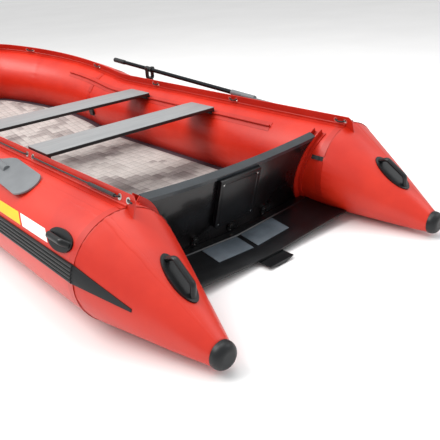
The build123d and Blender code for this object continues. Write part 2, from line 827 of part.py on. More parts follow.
with BuildPart() as oar_grip_starboard:
    with BuildSketch(oar_plane.offset(oar_inboard - oar_grip_length)):
        Circle(oar_grip_radius)
    extrude(amount=oar_grip_length + oar_grip_radius / 2)
    fillet(oar_grip_starboard.edges().filter_by(GeomType.CIRCLE), radius=oar_grip_radius / 4)
    with BuildSketch(oar_plane.offset(oar_inboard)):
        Circle(oar_shaft_radius + seat_gap)
    extrude(amount=-oar_grip_length * 1.5, mode=Mode.SUBTRACT)
finish(oar_grip_starboard, "oar_grip_starboard")

mirrored = {
    "rowlock_base": rowlock_base_starboard,
    "rowlock_yoke": rowlock_yoke_starboard,
    "oar_shaft": oar_shaft_starboard,
    "oar_collar": oar_collar_starboard,
    "oar_blade": oar_blade_starboard,
    "oar_grip": oar_grip_starboard,
}
for name, piece in mirrored.items():
    with BuildPart() as twin:
        mirror(piece.part, about=Plane.YZ)
    finish(twin, f"{name}_port")

# Transom, what holds it, and what is fastened to it ----------------------------------------------

rake_turn = math.radians(transom_rake)
transom_plane = Plane(
    (0, transom_y, tube_radius), x_dir=starboard, z_dir=(0, -math.cos(rake_turn), -math.sin(rake_turn))
)
holder_radius = tube_radius + holder_thickness
holder_span = (holder_bottom_angle - holder_top_angle) * math.pi / 180 * tube_radius
holder_middle = (holder_bottom_angle + holder_top_angle) / 2


def face_height(height):
    """The distance up the raked face from its reference line to a height above the ground."""
    return (height - tube_radius) / math.cos(rake_turn)


def raked_slab(low, high):
    """Everything between two distances out of the transom's outer face."""
    with BuildPart() as slab:
        with BuildSketch(transom_plane.offset(low)):
            Rectangle(axis_spacing * 1.4, tube_radius * 6)
        extrude(amount=high - low)
    return slab.part


def raked_strip(face, low, high):
    """A band on the starboard tube, cut between two distances out of the transom's outer face."""
    with BuildPart() as strip:
        with BuildSketch(section_plane(0)):
            add(face)
        extrude(amount=tube_radius, both=True)
        add(raked_slab(low, high), mode=Mode.INTERSECT)
    return strip.part


def scupper_place(side):
    """A plane on the transom's face at a scupper: x runs across, y up the face and z out of it."""
    height = face_height(scupper_height + scupper_side_rise * abs(side))
    return Plane(
        transom_plane.origin + transom_plane.x_dir * (side * scupper_spacing) + transom_plane.y_dir * height,
        x_dir=transom_plane.x_dir,
        z_dir=transom_plane.z_dir,
    )


scupper_places = [scupper_place(side) for side in (-1, 0, 1)]

with BuildPart() as transom:
    with BuildSketch(transom_plane):
        with BuildLine():
            end = face_height(transom_end_height)
            middle = face_height(transom_middle_height)
            bottom = face_height(transom_bottom_height)
            ThreePointArc((-transom_end_x, end), (0, middle), (transom_end_x, end))
            Polyline(
                (transom_end_x, end), (half_spacing, 0), (half_spacing, bottom),
                (-half_spacing, bottom), (-half_spacing, 0), (-transom_end_x, end),
            )
        make_face()
    extrude(amount=-transom_thickness)
    for side in (-1, 1):
        with BuildSketch(Plane((side * half_spacing, transom_y, tube_radius), x_dir=(1, 0, 0), z_dir=(0, -1, 0))):
            Circle(holder_radius + seat_gap)
        extrude(amount=tube_radius, both=True, mode=Mode.SUBTRACT)
    for x in (-pad_screw_spacing_x / 2, pad_screw_spacing_x / 2):
        for z in (pad_screw_top_height, pad_screw_bottom_height):
            with BuildSketch(transom_plane):
                with Locations((x, face_height(z))):
                    Circle(screw_shank_radius + 0.1)
            extrude(amount=-transom_thickness / 2, mode=Mode.SUBTRACT)
    for place in scupper_places:
        with BuildSketch(place):
            with Locations((0, plug_offset)):
                Circle(scupper_sleeve_radius + seat_gap)
        extrude(amount=-plug_depth - 2, mode=Mode.SUBTRACT)
        with BuildSketch(place):
            with Locations((0, -scupper_screw_offset)):
                Circle(scupper_screw_radius + seat_gap)
        extrude(amount=-scupper_screw_depth, mode=Mode.SUBTRACT)
finish(transom, "transom")

holder_strip = band(tube_radius + seat_gap, holder_radius, holder_middle, holder_span)
holder_lip = band(tube_radius + seat_gap, holder_radius + holder_flange, holder_middle, holder_span)

inner_face = -transom_thickness

with BuildPart() as transom_holders:
    add(raked_strip(holder_strip, inner_face - holder_flange, holder_flange))
    add(raked_strip(holder_lip, seat_gap, holder_thickness))
    add(raked_strip(holder_lip, inner_face - holder_thickness, inner_face - seat_gap))
    mirror(about=Plane.YZ)
finish(transom_holders, "transom_holders")

with BuildPart() as transom_edging:
    with BuildSketch(transom_plane.offset(edging_wall)):
        with BuildLine():
            reach_x = transom_end_x - edging_wall
            ThreePointArc(
                (-reach_x, end + edging_wall), (0, middle + edging_wall), (reach_x, end + edging_wall)
            )
            Line((reach_x, end + edging_wall), (reach_x, end - edging_depth))
            ThreePointArc(
                (reach_x, end - edging_depth), (0, middle - edging_depth), (-reach_x, end - edging_depth)
            )
            Line((-reach_x, end - edging_depth), (-reach_x, end + edging_wall))
        make_face()
    extrude(amount=-transom_thickness - edging_wall * 2)
    add(transom.part, mode=Mode.SUBTRACT)
    add(hull_envelope(holder_thickness + holder_flange + 1), mode=Mode.SUBTRACT)
finish(transom_edging, "transom_edging")

with BuildPart() as motor_pad_outer:
    with BuildSketch(transom_plane):
        with BuildLine():
            high = middle - edging_depth - seat_gap
            low = face_height(motor_pad_bottom_height)
            half = motor_pad_width / 2
            FilletPolyline(
                (-half, high), (-half, low), (half, low), (half, high), radius=motor_pad_corner
            )
            Line((half, high), (-half, high))
        make_face()
    extrude(amount=motor_pad_thickness)
    for x in (-pad_screw_spacing_x / 2, pad_screw_spacing_x / 2):
        for z in (pad_screw_top_height, pad_screw_bottom_height):
            with BuildSketch(transom_plane):
                with Locations((x, face_height(z))):
                    Circle(screw_shank_radius + 0.1)
            extrude(amount=motor_pad_thickness, mode=Mode.SUBTRACT)
            with BuildSketch(transom_plane.offset(motor_pad_thickness)):
                with Locations((x, face_height(z))):
                    Circle(screw_head_radius + seat_gap)
            extrude(amount=-screw_head_height, mode=Mode.SUBTRACT)
finish(motor_pad_outer, "motor_pad_outer")

with BuildPart() as motor_pad_inner:
    with BuildSketch(transom_plane.offset(inner_face)):
        with Locations((0, (face_height(motor_pad_top_height) + face_height(inner_pad_low_height)) / 2)):
            RectangleRounded(
                motor_pad_width,
                face_height(motor_pad_top_height) - face_height(inner_pad_low_height) - edging_depth * 2,
                motor_pad_corner / 2,
            )
    extrude(amount=-inner_pad_thickness)
finish(motor_pad_inner, "motor_pad_inner")

# The foot under the transom: a sloped foot, a lip, two sloped panels with pads, and a flat plate ---

foot_gap = 0.1
foot_wall = 4.0
foot_cavity_width = 960.0
deadrise_turn = math.radians(deadrise)
across_foot = Vector(math.cos(deadrise_turn), 0, math.sin(deadrise_turn))
foot_plane = Plane((0, transom_y, 0), x_dir=(0, -1, 0), z_dir=(-1, 0, 0))
slope_top = Vector(lip_depth + pad_inset, lip_height - pad_inset)
slope_foot = Vector(slope_foot_depth, floor_low + plate_thickness)
slope_turn = (slope_foot - slope_top).normalized()
slope_normal = Vector(-slope_turn.Y, slope_turn.X)
foot_start = rake * (tube_radius - foot_top_height)


def across_extrude_length(width):
    """The length of an extrusion along the rising direction that covers a level width."""
    return width / math.cos(deadrise_turn)


foot_inner_depth = -transom_thickness - rake * tube_radius
foot_crown_height = foot_top_height + foot_start * 0.4
foot_corners = (
    (foot_inner_depth, floor_low),
    (foot_inner_depth, foot_crown_height),
    (-foot_start, foot_top_height),
    (lip_depth, lip_height),
    tuple(slope_top)[:2],
    tuple(slope_foot)[:2],
    (plate_depth, floor_low + plate_thickness),
    (plate_depth, floor_low),
)

with BuildPart() as foot_cavity:
    with BuildSketch(foot_plane):
        Polygon(*foot_corners, align=None)
        offset(amount=-foot_wall, kind=Kind.INTERSECTION)
    extrude(amount=across_extrude_length(foot_cavity_width / 2), dir=across_foot)
    mirror(about=Plane.YZ)
    add(raked_slab(-tube_radius * 2, foot_gap + holder_thickness + foot_wall), mode=Mode.SUBTRACT)
    add(hull_envelope(seat_gap + foot_wall), mode=Mode.SUBTRACT)

with BuildPart() as stern_extension:
    with BuildSketch(foot_plane):
        Polygon(*foot_corners, align=None)
    extrude(amount=across_extrude_length(extension_width / 2), dir=across_foot)
    mirror(about=Plane.YZ)
    add(foot_cavity.part, mode=Mode.SUBTRACT)
    add(raked_slab(-tube_radius * 2, foot_gap), mode=Mode.SUBTRACT)
    add(hull_envelope(seat_gap), mode=Mode.SUBTRACT)
    add(transom_holders.part, mode=Mode.SUBTRACT)
finish(stern_extension, "stern_extension")

with BuildPart() as extension_pads:
    pad_outer = slope_normal * pad_thickness
    pad_low = slope_top + slope_turn * pad_inset
    pad_high = slope_foot - slope_turn * pad_inset
    pad_corners = (pad_low, pad_high, pad_high + pad_outer, pad_low + pad_outer)
    pad_start = Vector(0, transom_y, 0) + across_foot * (pad_gap / 2)
    with BuildSketch(Plane(pad_start, x_dir=(0, -1, 0), z_dir=(-1, 0, 0))):
        Polygon(*[tuple(corner)[:2] for corner in pad_corners], align=None)
    extrude(amount=across_extrude_length(pad_width), dir=across_foot)
    mirror(about=Plane.YZ)
finish(extension_pads, "extension_pads")

with BuildPart() as scuppers:
    for place in scupper_places:
        with BuildSketch(place):
            Ellipse(scupper_width / 2, scupper_tall / 2)
        extrude(amount=scupper_thickness)
        with BuildSketch(place):
            with Locations((0, plug_offset)):
                Circle(scupper_sleeve_radius)
        extrude(amount=-plug_depth)
        with BuildSketch(place.offset(scupper_thickness)):
            with Locations((0, plug_offset)):
                Circle(plug_radius + running_gap)
        extrude(amount=-scupper_thickness - plug_depth, mode=Mode.SUBTRACT)
        with BuildSketch(place.offset(scupper_thickness)):
            with Locations((0, -scupper_screw_offset)):
                Circle(scupper_screw_radius + seat_gap)
        extrude(amount=-scupper_thickness, mode=Mode.SUBTRACT)
finish(scuppers, "scuppers")

for name, place in zip(("port", "centre", "starboard"), scupper_places):
    with BuildPart() as drain_plug:
        with BuildSketch(place.offset(-plug_depth + 2)):
            with Locations((0, plug_offset)):
                Circle(plug_radius)
        extrude(amount=plug_depth - 2 + scupper_thickness + running_gap)
        with BuildSketch(place.offset(scupper_thickness + running_gap)):
            with Locations((0, plug_offset)):
                Circle(plug_head_radius)
        extrude(amount=plug_head_height)
        fillet(drain_plug.edges().sort_by(Axis(place.origin, place.z_dir))[-1], radius=1.5)
    finish(drain_plug, f"drain_plug_{name}")

with BuildPart() as transom_screws:
    for x in (-pad_screw_spacing_x / 2, pad_screw_spacing_x / 2):
        for z in (pad_screw_top_height, pad_screw_bottom_height):
            with BuildSketch(transom_plane.offset(motor_pad_thickness)):
                with Locations((x, face_height(z))):
                    Circle(screw_shank_radius)
            extrude(amount=-motor_pad_thickness - transom_thickness / 3)
            with BuildSketch(transom_plane.offset(motor_pad_thickness)):
                with Locations((x, face_height(z))):
                    Circle(screw_head_radius)
            extrude(amount=-screw_head_height)
    for place in scupper_places:
        with BuildSketch(place.offset(scupper_thickness)):
            with Locations((0, -scupper_screw_offset)):
                Circle(scupper_screw_radius)
        extrude(amount=-scupper_thickness - scupper_screw_depth + 1)
        with BuildSketch(place.offset(scupper_thickness)):
            with Locations((0, -scupper_screw_offset)):
                Circle(scupper_screw_radius * 2)
        extrude(amount=screw_head_height)
finish(transom_screws, "transom_screws")


# Inflated floor, its mat and the keel ------------------------------------------------------------

def between_tubes(low, high, margin, aft_gap):
    """A slab between the tubes, from the transom to the bow, following the rise of the bow."""
    knuckle_axis = Axis((0, knuckle_y, tube_radius + knuckle_radius), starboard)
    with BuildPart() as slab:
        with BuildSketch(Plane((0, transom_y, (low + high) / 2), x_dir=starboard, z_dir=(0, -1, 0))):
            Rectangle(axis_spacing, high - low)
        extrude(amount=-straight_run)
        with BuildSketch(Plane((0, knuckle_y, (low + high) / 2), x_dir=starboard, z_dir=(0, -1, 0))):
            Rectangle(axis_spacing, high - low)
        revolve(axis=knuckle_axis, revolution_arc=sheer_angle)
        with BuildSketch(sheer_plane.offset(low - tube_radius)):
            with BuildLine():
                sweep_end_y = sweep_radius * math.sin(sweep_turn)
                nose_y = (sweep_radius - nose_radius) * math.sin(sweep_turn)
                half_sweep = sweep_turn / 2
                sweep_x = half_spacing - sweep_radius
                half_nose = (sweep_turn + math.pi / 2) / 2
                for side in (-1, 1):
                    ThreePointArc(
                        (side * half_spacing, 0),
                        (
                            side * (sweep_x + sweep_radius * math.cos(half_sweep)),
                            sweep_radius * math.sin(half_sweep),
                        ),
                        (side * nose_start_x, sweep_end_y),
                    )
                    ThreePointArc(
                        (side * nose_start_x, sweep_end_y),
                        (
                            side * nose_radius * math.cos(half_nose),
                            nose_y + nose_radius * math.sin(half_nose),
                        ),
                        (0, bow_reach),
                    )
                Line((-half_spacing, 0), (half_spacing, 0))
            make_face()
        extrude(amount=high - low)
        add(hull_envelope(margin), mode=Mode.SUBTRACT)
        add(raked_slab(inner_face - aft_gap, tube_radius * 2), mode=Mode.SUBTRACT)
    return slab.part


floor_high = floor_low + floor_thickness
floor_wall = 4.0
floor_corner = (560.0, 290.0, 300.0)     # left solid round each holder

with BuildPart() as floor_cavity:
    cavity_margin = seat_gap + floor_wall
    add(between_tubes(floor_low + floor_wall, floor_high - floor_wall, cavity_margin, cavity_margin))
    with Locations((-half_spacing, transom_y, floor_low), (half_spacing, transom_y, floor_low)):
        Box(*floor_corner, mode=Mode.SUBTRACT)

with BuildPart() as air_floor:
    add(between_tubes(floor_low, floor_high, seat_gap, foot_gap))
    add(transom_holders.part, mode=Mode.SUBTRACT)
    add(floor_cavity.part, mode=Mode.SUBTRACT)
finish(air_floor, "air_floor")

with BuildPart() as deck_mat:
    add(between_tubes(floor_high, floor_high + mat_thickness, mat_margin, mat_aft_gap))
finish(deck_mat, "deck_mat")

keel_corners = (
    (-keel_width_top / 2, floor_low - tube_radius),
    (keel_width_top / 2, floor_low - tube_radius),
    (keel_width_bottom / 2, -tube_radius),
    (-keel_width_bottom / 2, -tube_radius),
)
keel_end_width = keel_width_bottom / 2

with BuildPart() as keel:
    with BuildSketch(Plane((0, transom_y + keel_aft_station, tube_radius), x_dir=starboard, z_dir=(0, -1, 0))):
        Polygon(*keel_corners, align=None)
    extrude(amount=keel_aft_station - straight_run)
    with BuildSketch(Plane((0, knuckle_y, tube_radius), x_dir=starboard, z_dir=(0, -1, 0))):
        Polygon(*keel_corners, align=None)
    revolve(axis=Axis((0, knuckle_y, tube_radius + knuckle_radius), starboard), revolution_arc=sheer_angle)
    with BuildSketch(Plane(sheer_origin, x_dir=starboard, z_dir=-sheer_ahead)):
        Polygon(*keel_corners, align=None)
    extrude(amount=keel_bow_taper - keel_bow_end)
    taper_start = sheer_origin + sheer_ahead * (keel_bow_end - keel_bow_taper)
    with BuildSketch(Plane(taper_start, x_dir=starboard, z_dir=-sheer_ahead)):
        Polygon(*keel_corners, align=None)
    with BuildSketch(Plane(sheer_origin + sheer_ahead * keel_bow_end, x_dir=starboard, z_dir=-sheer_ahead)):
        with Locations((0, floor_low - tube_radius - 1)):
            Rectangle(keel_end_width, 2)
    loft(ruled=True)
finish(keel, "keel")


# Handles, lashing loops, tow eye and valves ------------------------------------------------------

def loop_handle(place, length, width, rise, cutter):
    """An oval base seated on the skin, and a bar that arches over it for the fingers."""
    bar = ((-0.4, handle_base / 2), (-0.27, rise), (0.27, rise), (0.4, handle_base / 2))
    points = [place.origin + place.x_dir * (x * length) + place.z_dir * z for x, z in bar]
    with BuildPart() as handle:
        with BuildSketch(place):
            Ellipse(length / 2, width / 2)
        extrude(amount=handle_base)
        with BuildSketch(place):
            Ellipse(length / 2, width / 2)
        extrude(amount=-handle_base * 2.5)
        with BuildLine() as arch:
            FilletPolyline(*points, radius=rise / 2)
        with BuildSketch(Plane(arch.wire() @ 0, x_dir=place.y_dir, z_dir=arch.wire() % 0)):
            Ellipse(handle_bar * 0.7, handle_bar / 2)
        sweep(path=arch.wire())
        add(cutter, mode=Mode.SUBTRACT)
    return handle.part


with BuildPart() as cone_handle_starboard:
    cone_place = cone_spot(cone_handle_share, 101.0)
    add(loop_handle(cone_place, handle_length, handle_width, handle_rise, cone_solid(seat_gap)))
finish(cone_handle_starboard, "cone_handle_starboard")

with BuildPart() as cone_handle_port:
    mirror(cone_handle_starboard.part, about=Plane.YZ)
finish(cone_handle_port, "cone_handle_port")

tube_cutter = carry(disc(tube_radius + seat_gap), -cone_root, straight_run)

with BuildPart() as side_handle_starboard:
    side_place = tube_spot(side_handle_station, side_handle_angle)
    add(loop_handle(side_place, side_handle_length, side_handle_width, side_handle_rise, tube_cutter))
finish(side_handle_starboard, "side_handle_starboard")

with BuildPart() as side_handle_port:
    mirror(side_handle_starboard.part, about=Plane.YZ)
finish(side_handle_port, "side_handle_port")

bow_cutter = hull_envelope(seat_gap)
bow_handle_place = tube_spot(bow_station, bow_handle_angle)

with BuildPart() as bow_handle:
    add(loop_handle(bow_handle_place, handle_length, handle_width, handle_rise, bow_cutter))
finish(bow_handle, "bow_handle")

loop_place = tube_spot(loop_station, loop_angle)
loop_side = Plane(loop_place.origin, x_dir=loop_place.x_dir, z_dir=-loop_place.y_dir)

with BuildPart() as lashing_loops:
    with BuildSketch(loop_side):
        outer_half = loop_length / 2
        inner_half = loop_length / 4
        Polygon(
            (-outer_half, -4), (-outer_half, loop_web), (-inner_half, loop_web),
            (-inner_half * 0.6, loop_rise), (inner_half * 0.6, loop_rise),
            (inner_half, loop_web), (outer_half, loop_web), (outer_half, -4),
            (inner_half - loop_web, -4), (inner_half - loop_web, 0),
            (inner_half * 0.6 - loop_web / 2, loop_rise - loop_web),
            (loop_web / 2 - inner_half * 0.6, loop_rise - loop_web),
            (loop_web - inner_half, 0), (loop_web - inner_half, -4),
            align=None,
        )
    extrude(amount=loop_width / 2, both=True)
    add(tube_cutter, mode=Mode.SUBTRACT)
    mirror(about=Plane.YZ)
finish(lashing_loops, "lashing_loops")

tow_place = tube_spot(bow_station, tow_angle)
tow_bore_height = tow_ring_wire * 2 + 3

with BuildPart() as tow_eye:
    with BuildSketch(tow_place.offset(-handle_base * 2)):
        Circle(tow_patch_radius)
    extrude(amount=handle_base * 2.5)
    add(bow_cutter, mode=Mode.SUBTRACT)
    with BuildSketch(tow_place.offset(handle_base * 0.4)):
        Rectangle(tow_lug_width, tow_ring_wire * 5)
    extrude(amount=tow_bore_height + tow_ring_wire)
    with BuildSketch(Plane(tow_place.origin + tow_place.z_dir * tow_bore_height, z_dir=starboard)):
        Circle(tow_ring_wire + running_gap)
    extrude(amount=tow_lug_width, both=True, mode=Mode.SUBTRACT)
finish(tow_eye, "tow_eye")

tow_pivot = tow_place.origin + tow_place.z_dir * tow_bore_height
down = Vector(0, 0, -1)

with BuildPart() as tow_ring:
    with BuildLine() as half_ring:
        FilletPolyline(
            tow_pivot,
            tow_pivot + starboard * tow_ring_radius,
            tow_pivot + starboard * (tow_ring_radius * 0.8) + down * (tow_ring_radius * 1.5),
            tow_pivot + down * (tow_ring_radius * 1.5),
            radius=tow_ring_radius / 3,
        )
    with BuildSketch(Plane(tow_pivot, z_dir=starboard)):
        Circle(tow_ring_wire)
    sweep(path=half_ring.wire())
    mirror(about=Plane.YZ)
finish(tow_ring, "tow_ring")

valve_places = {
    "starboard": tube_spot(valve_side_station, valve_angle),
    "bow": tube_spot(valve_bow_station, valve_angle),
}
valve_cap_low = valve_flange + running_gap
valve_bore = valve_body_radius - 4.0


def valve_body(place):
    """A flange seated on the skin, with a closed barrel through it."""
    with BuildPart() as body:
        with BuildSketch(place.offset(-valve_flange)):
            Circle(valve_flange_radius)
        extrude(amount=valve_flange * 2)
        add(bow_cutter, mode=Mode.SUBTRACT)
        with BuildSketch(place.offset(-valve_body_depth)):
            Circle(valve_body_radius)
        extrude(amount=valve_body_depth + valve_flange / 2)
        with BuildSketch(place.offset(valve_flange)):
            Circle(valve_bore)
        extrude(amount=-valve_body_depth, mode=Mode.SUBTRACT)
    return body.part


def valve_cap(place):
    """A ribbed cap with a spigot in the barrel."""
    with BuildPart() as cap:
        with BuildSketch(place.offset(valve_cap_low)):
            Circle(valve_cap_radius)
            with PolarLocations(valve_cap_radius, 12):
                Circle(2.5, mode=Mode.SUBTRACT)
        extrude(amount=valve_cap_height)
        with BuildSketch(place.offset(valve_cap_low)):
            Circle(valve_bore - running_gap)
        extrude(amount=-valve_cap_height)
    return cap.part


with BuildPart() as valve_bodies:
    add(valve_body(valve_places["starboard"]))
    mirror(about=Plane.YZ)
    add(valve_body(valve_places["bow"]))
finish(valve_bodies, "valve_bodies")

for name, place in valve_places.items():
    with BuildPart() as cap_piece:
        add(valve_cap(place))
    finish(cap_piece, f"valve_cap_{name}")

with BuildPart() as valve_cap_port:
    mirror(valve_cap(valve_places["starboard"]), about=Plane.YZ)
finish(valve_cap_port, "valve_cap_port")
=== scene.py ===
"""Inflatable dinghy: the visual model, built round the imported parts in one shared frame."""
import json
import math

import bpy
import bmesh
import numpy as np
from mathutils import Matrix, Vector


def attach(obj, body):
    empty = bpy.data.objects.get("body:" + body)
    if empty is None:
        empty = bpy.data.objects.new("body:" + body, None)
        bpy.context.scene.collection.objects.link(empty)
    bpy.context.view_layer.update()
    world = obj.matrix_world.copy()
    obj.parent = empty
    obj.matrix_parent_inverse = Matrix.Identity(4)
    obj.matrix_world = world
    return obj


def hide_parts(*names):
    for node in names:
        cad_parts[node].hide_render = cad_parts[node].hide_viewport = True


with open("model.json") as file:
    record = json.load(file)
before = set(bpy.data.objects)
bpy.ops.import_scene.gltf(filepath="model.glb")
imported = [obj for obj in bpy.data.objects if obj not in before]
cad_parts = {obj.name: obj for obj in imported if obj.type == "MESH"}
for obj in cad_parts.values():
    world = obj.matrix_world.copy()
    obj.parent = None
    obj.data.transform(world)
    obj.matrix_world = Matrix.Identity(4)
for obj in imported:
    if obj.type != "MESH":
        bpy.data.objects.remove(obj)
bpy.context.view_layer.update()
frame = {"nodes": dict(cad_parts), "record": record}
nodes = frame["nodes"]

# Sizes that the shapes and patterns below share, in metres ---------------------------------------

TUBE = 0.25                         # radius of an air tube, and the height of its axis
HALF = 0.75                         # from the boat's middle to a tube's axis
TRANSOM_Y = -1.465                  # where station 0 of a tube lies
CONE_ROOT = 0.15                    # how far aft of station 0 the cone begins
CONE_LENGTH = 0.54
CONE_TIP = (0.73, 0.08, 0.055)      # across, up and radius
SHEER = math.radians(10.0)          # how steeply the bow rises
KNUCKLE_R = 1.4                     # radius of the bend up into the bow
SWEEP_R = 1.7                       # radius of the bow's first, wide arc
SWEEP_TURN = math.radians(40.0)
NOSE_R = SWEEP_R - (SWEEP_R - HALF) / math.cos(SWEEP_TURN)
KNUCKLE_S = 0.4689816 - TRANSOM_Y
SWEEP_S = KNUCKLE_S + KNUCKLE_R * SHEER
NOSE_S = SWEEP_S + SWEEP_R * SWEEP_TURN
BOW_S = NOSE_S + NOSE_R * (math.pi / 2 - SWEEP_TURN)
BAFFLE_S = 2.3215
BAFFLE_GAP = 0.0015                 # from a baffle's station to the end of each skin beside it
PANEL_S = (-CONE_ROOT, 0.78, 1.62, BAFFLE_S, 3.05)    # stations of the welded joints
SEAM_A = (76.0, 262.0)              # degrees about the axis at which the taped seams run

MAT_REACH = 0.295                   # from a tube's axis to the mat's edge
MAT_DEPTH = 0.141                   # from a tube's axis down to the middle of the mat's thickness
MAT_OFF = math.sqrt(MAT_REACH ** 2 - MAT_DEPTH ** 2)
MAT_LOW, MAT_HIGH = 0.105, 0.113    # heights of its underside and top
MAT_START = 0.1115                  # station of its after edge
MAT_HALF = 0.49                     # half its width
QUILT = 0.048

# Camera and light ---------------------------------------------------------------------------------

YAW, PITCH, ROLL = math.radians(-40.49), math.radians(25.26), math.radians(-3.76)
EYE = Vector((-1.798, -3.450, 1.408))
LENS_MM, SENSOR_MM = 46.98, 36.0

back = Vector((math.sin(YAW) * math.cos(PITCH), -math.cos(YAW) * math.cos(PITCH), math.sin(PITCH)))
right = Vector((math.cos(YAW), math.sin(YAW), 0.0))
over = back.cross(right)
cam_right = right * math.cos(ROLL) + over * math.sin(ROLL)
cam_up = over * math.cos(ROLL) - right * math.sin(ROLL)
turn = Matrix((cam_right, cam_up, back)).transposed().to_4x4()

lens = bpy.data.cameras.new("camera")
lens.lens = LENS_MM
lens.sensor_width = SENSOR_MM
lens.clip_start = 0.05
lens.clip_end = 60.0
camera = bpy.data.objects.new("camera", lens)
camera.matrix_world = Matrix.Translation(EYE) @ turn
bpy.context.collection.objects.link(camera)
bpy.context.scene.camera = camera


def soft_light(name, place, target, size, watts, tint):
    """A square soft box at a place, aimed at a target."""
    lamp = bpy.data.lights.new(name, "AREA")
    lamp.shape = "SQUARE"
    lamp.size = size
    lamp.energy = watts
    lamp.color = tint
    holder = bpy.data.objects.new(name, lamp)
    aim = Vector(target) - Vector(place)
    holder.matrix_world = Matrix.Translation(place) @ aim.to_track_quat("-Z", "Y").to_matrix().to_4x4()
    bpy.context.collection.objects.link(holder)


soft_light("key_light", (-3.2, 1.0, 5.2), (0.0, -0.4, 0.2), 3.6, 300.0, (1.0, 0.985, 0.96))
soft_light("fill_light", (3.6, -4.2, 3.6), (0.0, -1.2, 0.2), 3.2, 60.0, (0.94, 0.97, 1.0))
soft_light("top_light", (0.8, -0.6, 6.0), (0.2, -0.6, 0.0), 4.0, 150.0, (1.0, 1.0, 1.0))

world = bpy.data.worlds.new("studio")
world.use_nodes = True
world.node_tree.nodes["Background"].inputs["Color"].default_value = (1.0, 1.0, 1.0, 1.0)
world.node_tree.nodes["Background"].inputs["Strength"].default_value = 0.75
bpy.context.scene.world = world
bpy.context.scene.view_settings.view_transform = "Standard"

# Materials ---------------------------------------------------------------------------------------


def shade(code):
    """An sRGB hex colour as linear red, green, blue and alpha."""
    parts = [int(code[i:i + 2], 16) / 255 for i in (1, 3, 5)]
    return [p / 12.92 if p <= 0.04045 else ((p + 0.055) / 1.055) ** 2.4 for p in parts] + [1.0]


def add_node(tree, kind, settings=(), links=()):
    """Adds a node, sets its properties and sockets, and links outputs into its sockets."""
    made = tree.nodes.new(kind)
    for key, value in dict(settings).items():
        if isinstance(key, str) and hasattr(made, key):
            setattr(made, key, value)
        else:
            made.inputs[key].default_value = value
    for key, (source, output) in dict(links).items():
        tree.links.new(source.outputs[output], made.inputs[key])
    return made


def start(name, color, rough, metal=0.0, ior=1.5, coat=0.0, coat_rough=0.1, spec=0.5, sheen=0.0):
    """A new material with a Principled shader and Object coordinates."""
    made = bpy.data.materials.new(name)
    made.use_nodes = True
    tree = made.node_tree
    shader = tree.nodes["Principled BSDF"]
    for key, value in (
        ("Base Color", shade(color)), ("Roughness", rough), ("Metallic", metal), ("IOR", ior),
        ("Coat Weight", coat), ("Coat Roughness", coat_rough), ("Specular IOR Level", spec),
        ("Sheen Weight", sheen),
    ):
        shader.inputs[key].default_value = value
    place = add_node(tree, "ShaderNodeTexCoord")
    return made, tree, shader, place


def mottle(tree, shader, place, colors, size, rough=None):
    """Clouds of one colour in another, size in metres, and a little of the same in the roughness."""
    cloud = add_node(
        tree, "ShaderNodeTexNoise", {"Scale": 1.0 / size, "Detail": 4.0, "Roughness": 0.6},
        {"Vector": (place, "Object")},
    )
    ramp = add_node(tree, "ShaderNodeValToRGB", (), {"Fac": (cloud, "Fac")})
    ramp.color_ramp.elements[0].position = 0.35
    ramp.color_ramp.elements[1].position = 0.68
    ramp.color_ramp.elements[0].color = shade(colors[0])
    ramp.color_ramp.elements[1].color = shade(colors[1])
    tree.links.new(ramp.outputs["Color"], shader.inputs["Base Color"])
    if rough:
        spread = add_node(
            tree, "ShaderNodeMapRange", {"To Min": rough[0], "To Max": rough[1]}, {"Value": (cloud, "Fac")}
        )
        tree.links.new(spread.outputs["Result"], shader.inputs["Roughness"])


def relief(tree, shader, layers):
    """Chains bumps, each (node, output, height in metres, strength), into the shader's normal."""
    last = None
    for source, output, height, strength in layers:
        links = {"Height": (source, output)}
        if last:
            links["Normal"] = (last, "Normal")
        last = add_node(tree, "ShaderNodeBump", {"Distance": height, "Strength": strength}, links)
    tree.links.new(last.outputs["Normal"], shader.inputs["Normal"])


def grain(tree, place, size, detail=3.0):
    """A fine isotropic grain of a real size in metres."""
    settings = {"Scale": 1.0 / size, "Detail": detail}
    return add_node(tree, "ShaderNodeTexNoise", settings, {"Vector": (place, "Object")})


WAVE = 0.314            # a Wave texture's bands lie this far apart at Scale 1, in metres
THREADS = 0.0025        # threads are about 1 mm apart: drawn 2.5 mm apart so that they show
CREASE = 0.09           # size of the fabric's soft unevenness


def coated_fabric(name, low, high, rough):
    """PVC-coated polyester: satin, slightly uneven in colour, the weave just showing through."""
    made, tree, shader, place = start(name, high, 0.4, ior=1.53, coat=0.12, coat_rough=0.25, spec=0.45)
    mottle(tree, shader, place, (low, high), 0.35, rough)
    layers = []
    for axis in ("X", "Y", "Z"):
        threads = add_node(
            tree, "ShaderNodeTexWave",
            {"wave_type": "BANDS", "bands_direction": axis, "Scale": WAVE / THREADS, "Distortion": 0.4},
            {"Vector": (place, "Object")},
        )
        layers.append((threads, "Fac", 0.0002, 0.10))
    layers.append((grain(tree, place, CREASE, detail=2.0), "Fac", 0.004, 0.22))
    relief(tree, shader, layers)
    return made


def moulded(name, low, high, rough, size=0.0015, height=0.0002, coat=0.0, spread=0.12, spec=0.5):
    """Moulded rubber or plastic: a fine even texture and slight handling marks."""
    made, tree, shader, place = start(name, high, rough, coat=coat, spec=spec)
    mottle(tree, shader, place, (low, high), spread, (rough - 0.06, rough + 0.08))
    relief(tree, shader, [(grain(tree, place, size), "Fac", height, 0.35)])
    return made


